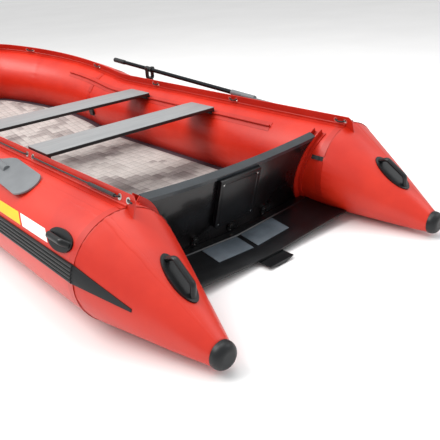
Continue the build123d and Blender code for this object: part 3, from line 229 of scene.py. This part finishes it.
def metal(name, color, rough, scratch=0.004):
    """Steel or aluminium: fine marks from finishing, the gloss varying a little from place to place."""
    made, tree, shader, place = start(name, color, rough, metal=1.0)
    marks = grain(tree, place, scratch, detail=6.0)
    spread = add_node(
        tree, "ShaderNodeMapRange", {"To Min": rough - 0.08, "To Max": rough + 0.12},
        {"Value": (marks, "Fac")},
    )
    tree.links.new(spread.outputs["Result"], shader.inputs["Roughness"])
    relief(tree, shader, [(marks, "Fac", 0.0001, 0.15)])
    return made


def painted_board(name, low, high):
    """Painted marine plywood: grey satin enamel with the grain just showing, its edges and
    underside given a painted near-black shade. Faces that look upward are grey and all others black."""
    made, tree, shader, place = start(name, high, 0.42, coat=0.2, coat_rough=0.3)
    # The grain runs across the boat: long in X and fine in Y and Z.
    stretch = add_node(
        tree, "ShaderNodeMapping", {"Scale": (6.0, 120.0, 120.0)},
        {"Vector": (place, "Object")},
    )
    fibre = add_node(
        tree, "ShaderNodeTexNoise", {"Scale": 1.0, "Detail": 6.0}, {"Vector": (stretch, "Vector")}
    )
    ramp = add_node(tree, "ShaderNodeValToRGB", (), {"Fac": (fibre, "Fac")})
    ramp.color_ramp.elements[0].position = 0.3
    ramp.color_ramp.elements[1].position = 0.7
    ramp.color_ramp.elements[0].color = shade(low)
    ramp.color_ramp.elements[1].color = shade(high)
    # Painted shade: every face not looking upward gets near-black #141517 in place of the grey grain,
    # standing in for the seat's shaded edges and underside.
    facing = add_node(tree, "ShaderNodeNewGeometry")
    parts = add_node(tree, "ShaderNodeSeparateXYZ", (), {"Vector": (facing, "True Normal")})
    upward = add_node(tree, "ShaderNodeMath", {"operation": "GREATER_THAN", 1: 0.6}, {0: (parts, "Z")})
    sides = add_node(
        tree, "ShaderNodeMix", {"data_type": "RGBA", 6: shade("#141517")},
        {0: (upward, "Value"), 7: (ramp, "Color")},
    )
    tree.links.new(sides.outputs[2], shader.inputs["Base Color"])
    relief(tree, shader, [(fibre, "Fac", 0.0004, 0.25)])
    return made


def laid_rope(name, low, high, pitch):
    """Braided polyester cord: strands crossing at a slant, matte."""
    made, tree, shader, place = start(name, high, 0.75, sheen=0.15)
    mottle(tree, shader, place, (low, high), 0.02)
    layers = []
    for direction in (1.0, -1.0):
        slant = add_node(
            tree, "ShaderNodeMapping", {"Rotation": (0.6 * direction, 0.0, 0.8 * direction)},
            {"Vector": (place, "Object")},
        )
        strands = add_node(
            tree, "ShaderNodeTexWave", {"bands_direction": "Y", "Scale": WAVE / pitch},
            {"Vector": (slant, "Vector")},
        )
        layers.append((strands, "Fac", 0.001, 0.6))
    relief(tree, shader, layers)
    return made


def deck_foam(name):
    """Embossed EVA foam: matte warm grey in blocks as large as its quilting, with patches of darker
    blocks, and painted shade darkening each block's border along the grooves."""
    made, tree, shader, place = start(name, "#C9C2BE", 0.82, spec=0.3)
    snapped = add_node(
        tree, "ShaderNodeVectorMath", {"operation": "SNAP", 1: (QUILT, QUILT, 10.0)}, {0: (place, "Object")}
    )
    wide = add_node(
        tree, "ShaderNodeTexNoise", {"Scale": 2.6, "Detail": 3.0, "Roughness": 0.62},
        {"Vector": (snapped, "Vector")},
    )
    ramp = add_node(tree, "ShaderNodeValToRGB", (), {"Fac": (wide, "Fac")})
    ramp.color_ramp.interpolation = "CONSTANT"
    ramp.color_ramp.elements[0].position = 0.0
    ramp.color_ramp.elements[0].color = shade("#8A8280")
    for spot, color in ((0.40, "#A19A97"), (0.46, "#BCB6B2")):
        ramp.color_ramp.elements.new(spot).color = shade(color)
    ramp.color_ramp.elements[3].position = 0.6
    ramp.color_ramp.elements[3].color = shade("#B0AAA6")
    square = add_node(
        tree, "ShaderNodeTexWhiteNoise", {"noise_dimensions": "3D"},
        {"Vector": (snapped, "Vector")},
    )
    tone = add_node(tree, "ShaderNodeMapRange", {"To Min": 0.86, "To Max": 1.0}, {"Value": (square, "Value")})
    split = add_node(tree, "ShaderNodeSeparateXYZ", (), {"Vector": (place, "Object")})
    lines = []
    for axis, first_line in (("X", MAT_HALF), ("Y", -(TRANSOM_Y + MAT_START))):
        moved = add_node(
            tree, "ShaderNodeMath", {"operation": "ADD", 1: first_line + QUILT / 2}, {0: (split, axis)}
        )
        wave = add_node(
            tree, "ShaderNodeMath", {"operation": "PINGPONG", 1: QUILT / 2},
            {0: (moved, "Value")},
        )
        lines.append(
            add_node(tree, "ShaderNodeMath", {"operation": "SUBTRACT", 0: QUILT / 2}, {1: (wave, "Value")})
        )
    nearest = add_node(
        tree, "ShaderNodeMath", {"operation": "MINIMUM"}, {0: (lines[0], "Value"), 1: (lines[1], "Value")}
    )
    # Painted shade for the grooves: the colour falls to 0.72 on each quilting line and is back to full within
    # 5 mm of it.
    painted_groove_shade = add_node(
        tree, "ShaderNodeMapRange", {"From Max": 0.005, "To Min": 0.72, "To Max": 1.0},
        {"Value": (nearest, "Value")},
    )
    both = add_node(
        tree, "ShaderNodeMath", {"operation": "MULTIPLY"},
        {0: (tone, "Result"), 1: (painted_groove_shade, "Result")},
    )
    toned = add_node(
        tree, "ShaderNodeVectorMath", {"operation": "SCALE"},
        {0: (ramp, "Color"), 3: (both, "Value")},
    )
    tree.links.new(toned.outputs[0], shader.inputs["Base Color"])
    relief(tree, shader, [(grain(tree, place, 0.002), "Fac", 0.0004, 0.4)])
    return made


def plain_floor(name):
    """A pale matte studio floor."""
    made, tree, shader, place = start(name, "#F4F4F4", 0.9, spec=0.2)
    mottle(tree, shader, place, ("#F2F2F2", "#F6F6F6"), 1.5)
    return made


FINISH = {
    "hull_pvc": coated_fabric("hull_pvc_coated_polyester", "#BE1E08", "#D0290D", (0.34, 0.46)),
    "tape_pvc": coated_fabric("seam_tape_pvc", "#B01A08", "#C2240C", (0.38, 0.5)),
    "flap_pvc": coated_fabric("flap_pvc_coated_polyester", "#B01B08", "#C4250D", (0.36, 0.5)),
    "strake_rubber": moulded("extruded_rubber_strake", "#0A0C0E", "#121518", 0.4, spec=0.4),
    "eyelet_metal": metal("stainless_eyelet", "#D9D8D4", 0.28),
    "rope": laid_rope("braided_polyester_cord", "#0E0F10", "#1D1F21", 0.004),
    "thwart_board": painted_board("painted_plywood_seat", "#7C7E80", "#919394"),
    "shoe_plastic": moulded("nylon_seat_shoe", "#121315", "#1D1F21", 0.5),
    "rowlock_plastic": moulded("moulded_nylon_rowlock", "#101113", "#1B1D1F", 0.4),
    "oar_tube": metal("black_anodised_aluminium", "#26282B", 0.38),
    "oar_trim": moulded("oar_grip_rubber", "#1A1B1D", "#26282A", 0.6),
    "oar_blade": moulded("polypropylene_blade", "#5E6164", "#74777A", 0.36, spread=0.3),
    "transom_board": moulded(
        "gloss_black_board", "#070607", "#0D0B0D", 0.26, 0.02, 0.0004, 0.25, spread=0.4, spec=0.35
    ),
    "edging": moulded("extruded_edging_rubber", "#1A2025", "#262E34", 0.3, coat=0.3),
    "motor_pad": moulded("flat_polyethylene_pad", "#08080A", "#0E0E11", 0.34, spec=0.4),
    "screw_metal": metal("stainless_screw", "#D6D6D3", 0.22, 0.002),
    "foot_black": moulded("black_coated_fabric", "#08090B", "#0F1114", 0.32, 0.003, 0.0003, spec=0.45),
    "foot_pad": moulded("grey_rubber_pad", "#4A545C", "#5E6972", 0.55, 0.004, 0.0005),
    "scupper_plastic": moulded("gloss_nylon_fitting", "#0A0B0C", "#141516", 0.2, coat=0.3),
    "floor_pvc": coated_fabric("dropstitch_floor_side", "#3C343C", "#4E444D", (0.42, 0.55)),
    "deck_foam": deck_foam("embossed_eva_foam"),
    "handle_rubber": moulded("moulded_rubber_handle", "#08090B", "#0F1113", 0.34, spec=0.4),
    "webbing": laid_rope("woven_polyester_webbing", "#0F1011", "#1C1D1F", 0.003),
    "tow_patch": coated_fabric("tow_patch_pvc", "#9A1308", "#AC190B", (0.4, 0.52)),
    "tow_metal": metal("polished_stainless_ring", "#DDDCD9", 0.16),
    "valve_plastic": moulded("moulded_nylon_valve", "#111214", "#1C1E20", 0.36),
}

slot_of = {row["node"]: row["material_slot"] for row in frame["record"]["subparts"]}

# Frame pieces ------------------------------------------------------------------------------------

WELD_WITHIN, DOUBLES_WITHIN = 0.00001, 0.00002      # metres
BEVEL_FROM, SPLIT_FROM = math.radians(40), math.radians(32)
EDGED = {               # pieces with a softened edge, and its width
    "thwart_aft": 0.003, "thwart_forward": 0.003, "transom": 0.002, "motor_pad_outer": 0.003,
    "motor_pad_inner": 0.001, "stern_extension": 0.0025, "extension_pads": 0.001,
    "thwart_shoes_aft": 0.0015, "thwart_shoes_forward": 0.0015,
}

for name, piece in nodes.items():
    piece.data.materials.clear()
    piece.data.materials.append(FINISH[slot_of[name]])
    piece.data.polygons.foreach_set("use_smooth", np.ones(len(piece.data.polygons), dtype=bool))
    weld = piece.modifiers.new("weld", "WELD")
    weld.merge_threshold = WELD_WITHIN
    if name in EDGED:
        edge = piece.modifiers.new("edge", "BEVEL")
        edge.width = EDGED[name]
        edge.segments = 2
        edge.limit_method = "ANGLE"
        edge.angle_limit = BEVEL_FROM
        edge.use_clamp_overlap = True
    split = piece.modifiers.new("split", "EDGE_SPLIT")
    split.split_angle = SPLIT_FROM

# The boat's air tubes ----------------------------------------------------------------------------


def axis_at(s):
    """Axis point and the outboard and up directions of the starboard tube at each station s:
    a straight run, an arc up at the knuckle, then two arcs inward in the tilted bow plane."""
    s = np.asarray(s, dtype=float)
    zero, one = np.zeros_like(s), np.ones_like(s)
    rise = np.clip((s - KNUCKLE_S) / KNUCKLE_R, 0.0, SHEER)
    up = np.stack([zero, -np.sin(rise), np.cos(rise)], 1)
    straight = np.minimum(s, KNUCKLE_S)
    run_y = TRANSOM_Y + straight + KNUCKLE_R * np.sin(rise)
    run_z = TUBE + KNUCKLE_R * (1 - np.cos(rise))
    sweep = np.clip((s - SWEEP_S) / SWEEP_R, 0.0, SWEEP_TURN)
    nose = np.clip((s - NOSE_S) / NOSE_R, 0.0, math.pi / 2 - SWEEP_TURN)
    turned = sweep + nose
    nose_across = NOSE_R * (np.cos(SWEEP_TURN) - np.cos(SWEEP_TURN + nose)) * (nose > 0)
    nose_along = NOSE_R * (np.sin(SWEEP_TURN + nose) - np.sin(SWEEP_TURN)) * (nose > 0)
    across = HALF - SWEEP_R * (1 - np.cos(sweep)) - nose_across
    along = SWEEP_R * np.sin(sweep) + nose_along
    point = np.stack([across, run_y + along * np.cos(SHEER), run_z + along * np.sin(SHEER)], 1)
    out = np.stack([np.cos(turned), np.sin(turned) * np.cos(SHEER), np.sin(turned) * np.sin(SHEER)], 1)
    out = np.where((s < SWEEP_S)[:, None], np.stack([one, zero, zero], 1), out)
    return point, out, up


def ridge(x, middle, half, edge):
    """A flat-topped band round a value: 1 inside it, falling smoothly to 0 over the edge width."""
    t = np.clip((half + edge - np.abs(x - middle)) / edge, 0.0, 1.0)
    return t * t * (3 - 2 * t)


def spaced(low, high, step, extra):
    """Even samples with more of them either side of each edge in extra."""
    base = np.linspace(low, high, max(2, int((high - low) / step) + 1))
    near_edges = [edge + np.array([-0.6, 0.0, 0.6, 1.2]) * width for edge, width in extra]
    return np.unique(np.round(np.concatenate([base] + near_edges), 6))


CONE_BULGE, CONE_RIPPLE = 0.003, 0.0012
PUCKER, PUCKER_FADE = 0.0011, 0.045         # height, and how far from the joint it dies away
DIP, DIP_FADE = 0.0016, 0.03                # the hollow along a welded joint
TAPE_HALF, TAPE_LIFT = 0.014, 0.0012        # half the tape's width, and how far it stands up
SWELL = 0.0009                              # the skin's slow unevenness


def tube_points(s, angle, side):
    """Skin points: at station s and angle about the axis, the tube's radius, more on a taped seam,
    a little less at a welded joint, and fine puckers that die away from the joint. Along the
    straight run no point goes below the ground."""
    s, angle = np.atleast_1d(s), np.atleast_1d(angle)
    on_cone = s < -CONE_ROOT
    share = np.clip((-CONE_ROOT - s) / CONE_LENGTH, 0.0, 1.0)
    point, out, up = axis_at(np.maximum(s, -CONE_ROOT))
    point[:, 0] += (CONE_TIP[0] - HALF) * share
    point[:, 1] -= CONE_LENGTH * share
    point[:, 2] += (CONE_TIP[1] - TUBE) * share
    radius = TUBE + (CONE_TIP[2] - TUBE) * share + CONE_BULGE * np.sin(math.pi * share) * on_cone
    a = angle[None, :]
    ss = s[:, None]
    r = np.repeat(radius[:, None], len(angle), 1)
    scale = (radius / TUBE)[:, None]
    for middle in PANEL_S:
        near = np.exp(-np.abs(ss - middle) / PUCKER_FADE)
        pucker = np.sin(38 * a + 9 * np.sin(3 * a + middle)) * np.sin(61 * a + 2.0)
        r += PUCKER * near * pucker * ridge(ss, middle, 0.16, 0.05)
        r -= DIP * np.exp(-((ss - middle) / DIP_FADE) ** 2)
    for middle in SEAM_A:
        wave = np.cos((a - math.radians(middle) + math.pi) % (2 * math.pi) - math.pi)
        distance = TUBE * np.arccos(np.clip(wave, -1, 1))
        wide = TAPE_HALF + 0.0008 * np.sin(ss * 43)
        r += TAPE_LIFT * ridge(distance, 0.0, wide, 0.0025) * scale
    r += SWELL * np.sin(ss * 7.1 + 2.3 * np.sin(a * 2)) * np.sin(a * 3 + ss * 1.7)
    ripple = np.sin(a * 5 + share[:, None] * 6) * share[:, None] * (1 - share[:, None]) * 4
    r += on_cone[:, None] * CONE_RIPPLE * ripple
    ground = TUBE / np.maximum(1e-6, np.maximum(-np.sin(a), 0.02))
    r = np.where((ss > -CONE_ROOT) & (ss < KNUCKLE_S), np.minimum(r, ground), r)
    outward = out[:, None, :] * (r * np.cos(a))[:, :, None]
    upward = up[:, None, :] * (r * np.sin(a))[:, :, None]
    skin = point[:, None, :] + outward + upward
    skin[:, :, 0] *= side
    return skin


def grid_mesh(name, points):
    """A closed mesh from rows of points, its columns joined round and its end rows closed by a fan."""
    rows, cols = points.shape[:2]
    i, j = np.meshgrid(np.arange(rows - 1), np.arange(cols), indexing="ij")
    k = (j + 1) % cols
    quads = np.stack([i * cols + j, i * cols + k, (i + 1) * cols + k, (i + 1) * cols + j], 2).reshape(-1, 4)
    verts = np.concatenate([points.reshape(-1, 3), points[0].mean(0)[None], points[-1].mean(0)[None]])
    j = np.arange(cols)
    k = (j + 1) % cols
    first, last = rows * cols, rows * cols + 1
    faces = quads.tolist()
    faces += np.stack([np.full(cols, first), k, j], 1).tolist()
    faces += np.stack([np.full(cols, last), (rows - 1) * cols + j, (rows - 1) * cols + k], 1).tolist()
    mesh = bpy.data.meshes.new(name)
    mesh.from_pydata(verts.tolist(), [], faces)
    mesh.validate()
    tidy = bmesh.new()
    tidy.from_mesh(mesh)
    bmesh.ops.remove_doubles(tidy, verts=tidy.verts, dist=DOUBLES_WITHIN)
    bmesh.ops.dissolve_degenerate(tidy, edges=tidy.edges, dist=WELD_WITHIN)
    bmesh.ops.recalc_face_normals(tidy, faces=tidy.faces)
    tidy.to_mesh(mesh)
    tidy.free()
    mesh.polygons.foreach_set("use_smooth", np.ones(len(mesh.polygons), dtype=bool))
    return mesh


def place_piece(name, mesh, slot, sharp, body="hull"):
    """Puts a finished mesh in the scene, riding on a body, with a slot's finish."""
    piece = bpy.data.objects.new(name, mesh)
    bpy.context.collection.objects.link(piece)
    mesh.materials.append(FINISH[slot])
    split = piece.modifiers.new("split", "EDGE_SPLIT")
    split.split_angle = math.radians(sharp)
    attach(piece, body)
    return piece


TAPE_EDGE, EDGE_STEP = 0.0155, 0.0016       # about where a tape's edge lies, and the samples' step there
FINE_FROM, FINE_TO = -0.4, 0.1              # stations about the cone's joint that are sampled finely

angle_edges = [
    (math.radians(middle) + edge * (TAPE_EDGE / TUBE), EDGE_STEP / TUBE)
    for middle in SEAM_A for edge in (-1, 1)
]
angles = spaced(0.0, 2 * math.pi, 0.045, angle_edges)[:-1]
side_stations = np.unique(np.concatenate([
    np.linspace(-CONE_ROOT - CONE_LENGTH, FINE_FROM, 30), np.linspace(FINE_FROM, FINE_TO, 110),
    np.linspace(FINE_TO, BAFFLE_S - BAFFLE_GAP, 190),
]))
for side, label in ((1, "starboard"), (-1, "port")):
    skin = tube_points(side_stations, angles, side)
    mesh = grid_mesh(f"air_tube_{label}", skin)
    piece = place_piece(f"air_tube_{label}", mesh, "hull_pvc", sharp=60)
    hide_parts(f"tube_{label}")

half_stations = np.linspace(BAFFLE_S + BAFFLE_GAP, BOW_S, 170)
starboard_half = tube_points(half_stations, angles, 1)
port_half = tube_points(half_stations[:-1], angles, -1)[::-1]
bow_skin = np.concatenate([starboard_half, port_half])
piece = place_piece("air_tube_bow", grid_mesh("air_tube_bow", bow_skin), "hull_pvc", sharp=60)
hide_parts("tube_bow")

# Foam deck: a quilted slab whose edge follows the tubes ------------------------------------------

GROOVE_HALF, GROOVE_SIDE, GROOVE_DEPTH = 0.0008, 0.0042, 0.0022
RIM, RIM_DROP = 0.010, 0.003        # the rounded edge's width and how far it falls
PLAIN_RIM = 0.03                    # no groove comes nearer the side edges than this
MAT_STEP = QUILT / 5
FIRST_ROW = 0.0015                  # a row this far in from the after edge rounds it


def deck_points():
    """Top and underside of the deck mat: rows along the boat, columns across it held within the
    edge, the top pressed down in grooves along both directions every quilt step."""
    s = np.unique(np.concatenate([
        np.arange(MAT_START, BOW_S, MAT_STEP), [MAT_START + FIRST_ROW], [BOW_S],
    ]))
    point, out, up = axis_at(s)
    edge = point - out * MAT_OFF
    half = np.maximum(edge[:, 0], 0.0)
    columns = np.arange(-MAT_HALF, MAT_HALF + 0.0001, MAT_STEP)
    x = np.clip(columns[None, :], -half[:, None], half[:, None])
    inward = half[:, None] - np.abs(x)
    groove_x = ridge((x + QUILT / 2) % QUILT, QUILT / 2, GROOVE_HALF, GROOVE_SIDE)
    run = (s - MAT_START)[:, None] + 0 * x
    groove_s = ridge((run + QUILT / 2) % QUILT, QUILT / 2, GROOVE_HALF, GROOVE_SIDE)
    rim = np.clip(inward / RIM, 0, 1)
    rim_s = np.clip((s - s[0]) / RIM, 0, 1)[:, None]
    drop = GROOVE_DEPTH * np.maximum(groove_x, groove_s) * (inward > PLAIN_RIM)
    drop += RIM_DROP * (1 - np.minimum(rim, rim_s)) ** 2
    middle = edge[:, None, :] * np.array([0, 1, 1])
    top = middle + up[:, None, :] * (MAT_HIGH - TUBE - drop)[:, :, None]
    base = middle + up[:, None, :] * (MAT_LOW - TUBE + 0 * x)[:, :, None]
    top[:, :, 0] = x
    base[:, :, 0] = x
    return top, base


top, base = deck_points()
closed = np.concatenate([top, base[:, ::-1]], 1)
piece = place_piece("deck_foam", grid_mesh("deck_foam", closed), "deck_foam", sharp=50)
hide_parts("deck_mat")

# Plain coloured patches on the tubes' sides ------------------------------------------------------

FINISH["patch_white"] = coated_fabric("white_pvc_patch", "#E9E7E2", "#F4F3EF", (0.36, 0.46))
FINISH["patch_yellow"] = coated_fabric("yellow_pvc_patch", "#E8B210", "#F5C21C", (0.36, 0.46))


# A patch's face stands this far above its rim, its rim this far off the skin, its back this far in.
PATCH_LIFT, PATCH_CLEAR, PATCH_SUNK = 0.0011, 0.0002, 0.001
FLASH_LOW, FLASH_HIGH, FLASH_SLANT = 27.0, 37.5, 0.06           # degrees about the axis, and metres


def tube_patch(name, finish, low, high, first, last, side, slant):
    """A thin patch on the tube between two stations and two angles, its ends slanted, with soft edges."""
    u = np.linspace(0, 1, 60)
    v = np.linspace(0, 1, 24)
    a = math.radians(low) + math.radians(high - low) * v
    rows = []
    for lift in (0.0, PATCH_LIFT):
        s = first + (last - first) * u[:, None] + slant * (v[None, :] - 0.5)
        point, out, up = axis_at(s.ravel())
        edge = np.minimum(np.minimum(u, 1 - u)[:, None] * 24, np.minimum(v, 1 - v)[None, :] * 9).clip(0, 1)
        if lift:
            r = (TUBE + PATCH_CLEAR + lift * edge ** 0.5).ravel()
        else:
            r = np.full(s.size, TUBE - PATCH_SUNK)
        ang = np.broadcast_to(a[None, :], s.shape).ravel()
        skin = point + out * (r * np.cos(ang))[:, None] + up * (r * np.sin(ang))[:, None]
        skin[:, 0] *= side
        rows.append(skin.reshape(len(u), len(v), 3))
    closed_patch = np.concatenate([rows[1], rows[0][:, ::-1]], 1)
    piece = bpy.data.objects.new(name, grid_mesh(name, closed_patch))
    bpy.context.collection.objects.link(piece)
    piece.data.materials.append(FINISH[finish])
    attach(piece, "hull")


for side, label in ((1, "starboard"), (-1, "port")):
    for tint, first, last in (("white", 0.10, 0.34), ("yellow", 0.36, 0.62)):
        tube_patch(
            f"side_flash_{tint}_{label}", f"patch_{tint}", FLASH_LOW, FLASH_HIGH, first, last, side,
            FLASH_SLANT,
        )

# Floor -------------------------------------------------------------------------------------------

REACH = 30
corners = [(-REACH, -REACH, 0), (REACH, -REACH, 0), (REACH, REACH, 0), (-REACH, REACH, 0)]
ground = bpy.data.meshes.new("studio_floor")
ground.from_pydata(corners, [], [(0, 1, 2, 3)])
floor = bpy.data.objects.new("studio_floor", ground)
ground.materials.append(plain_floor("pale_studio_floor"))
bpy.context.collection.objects.link(floor)
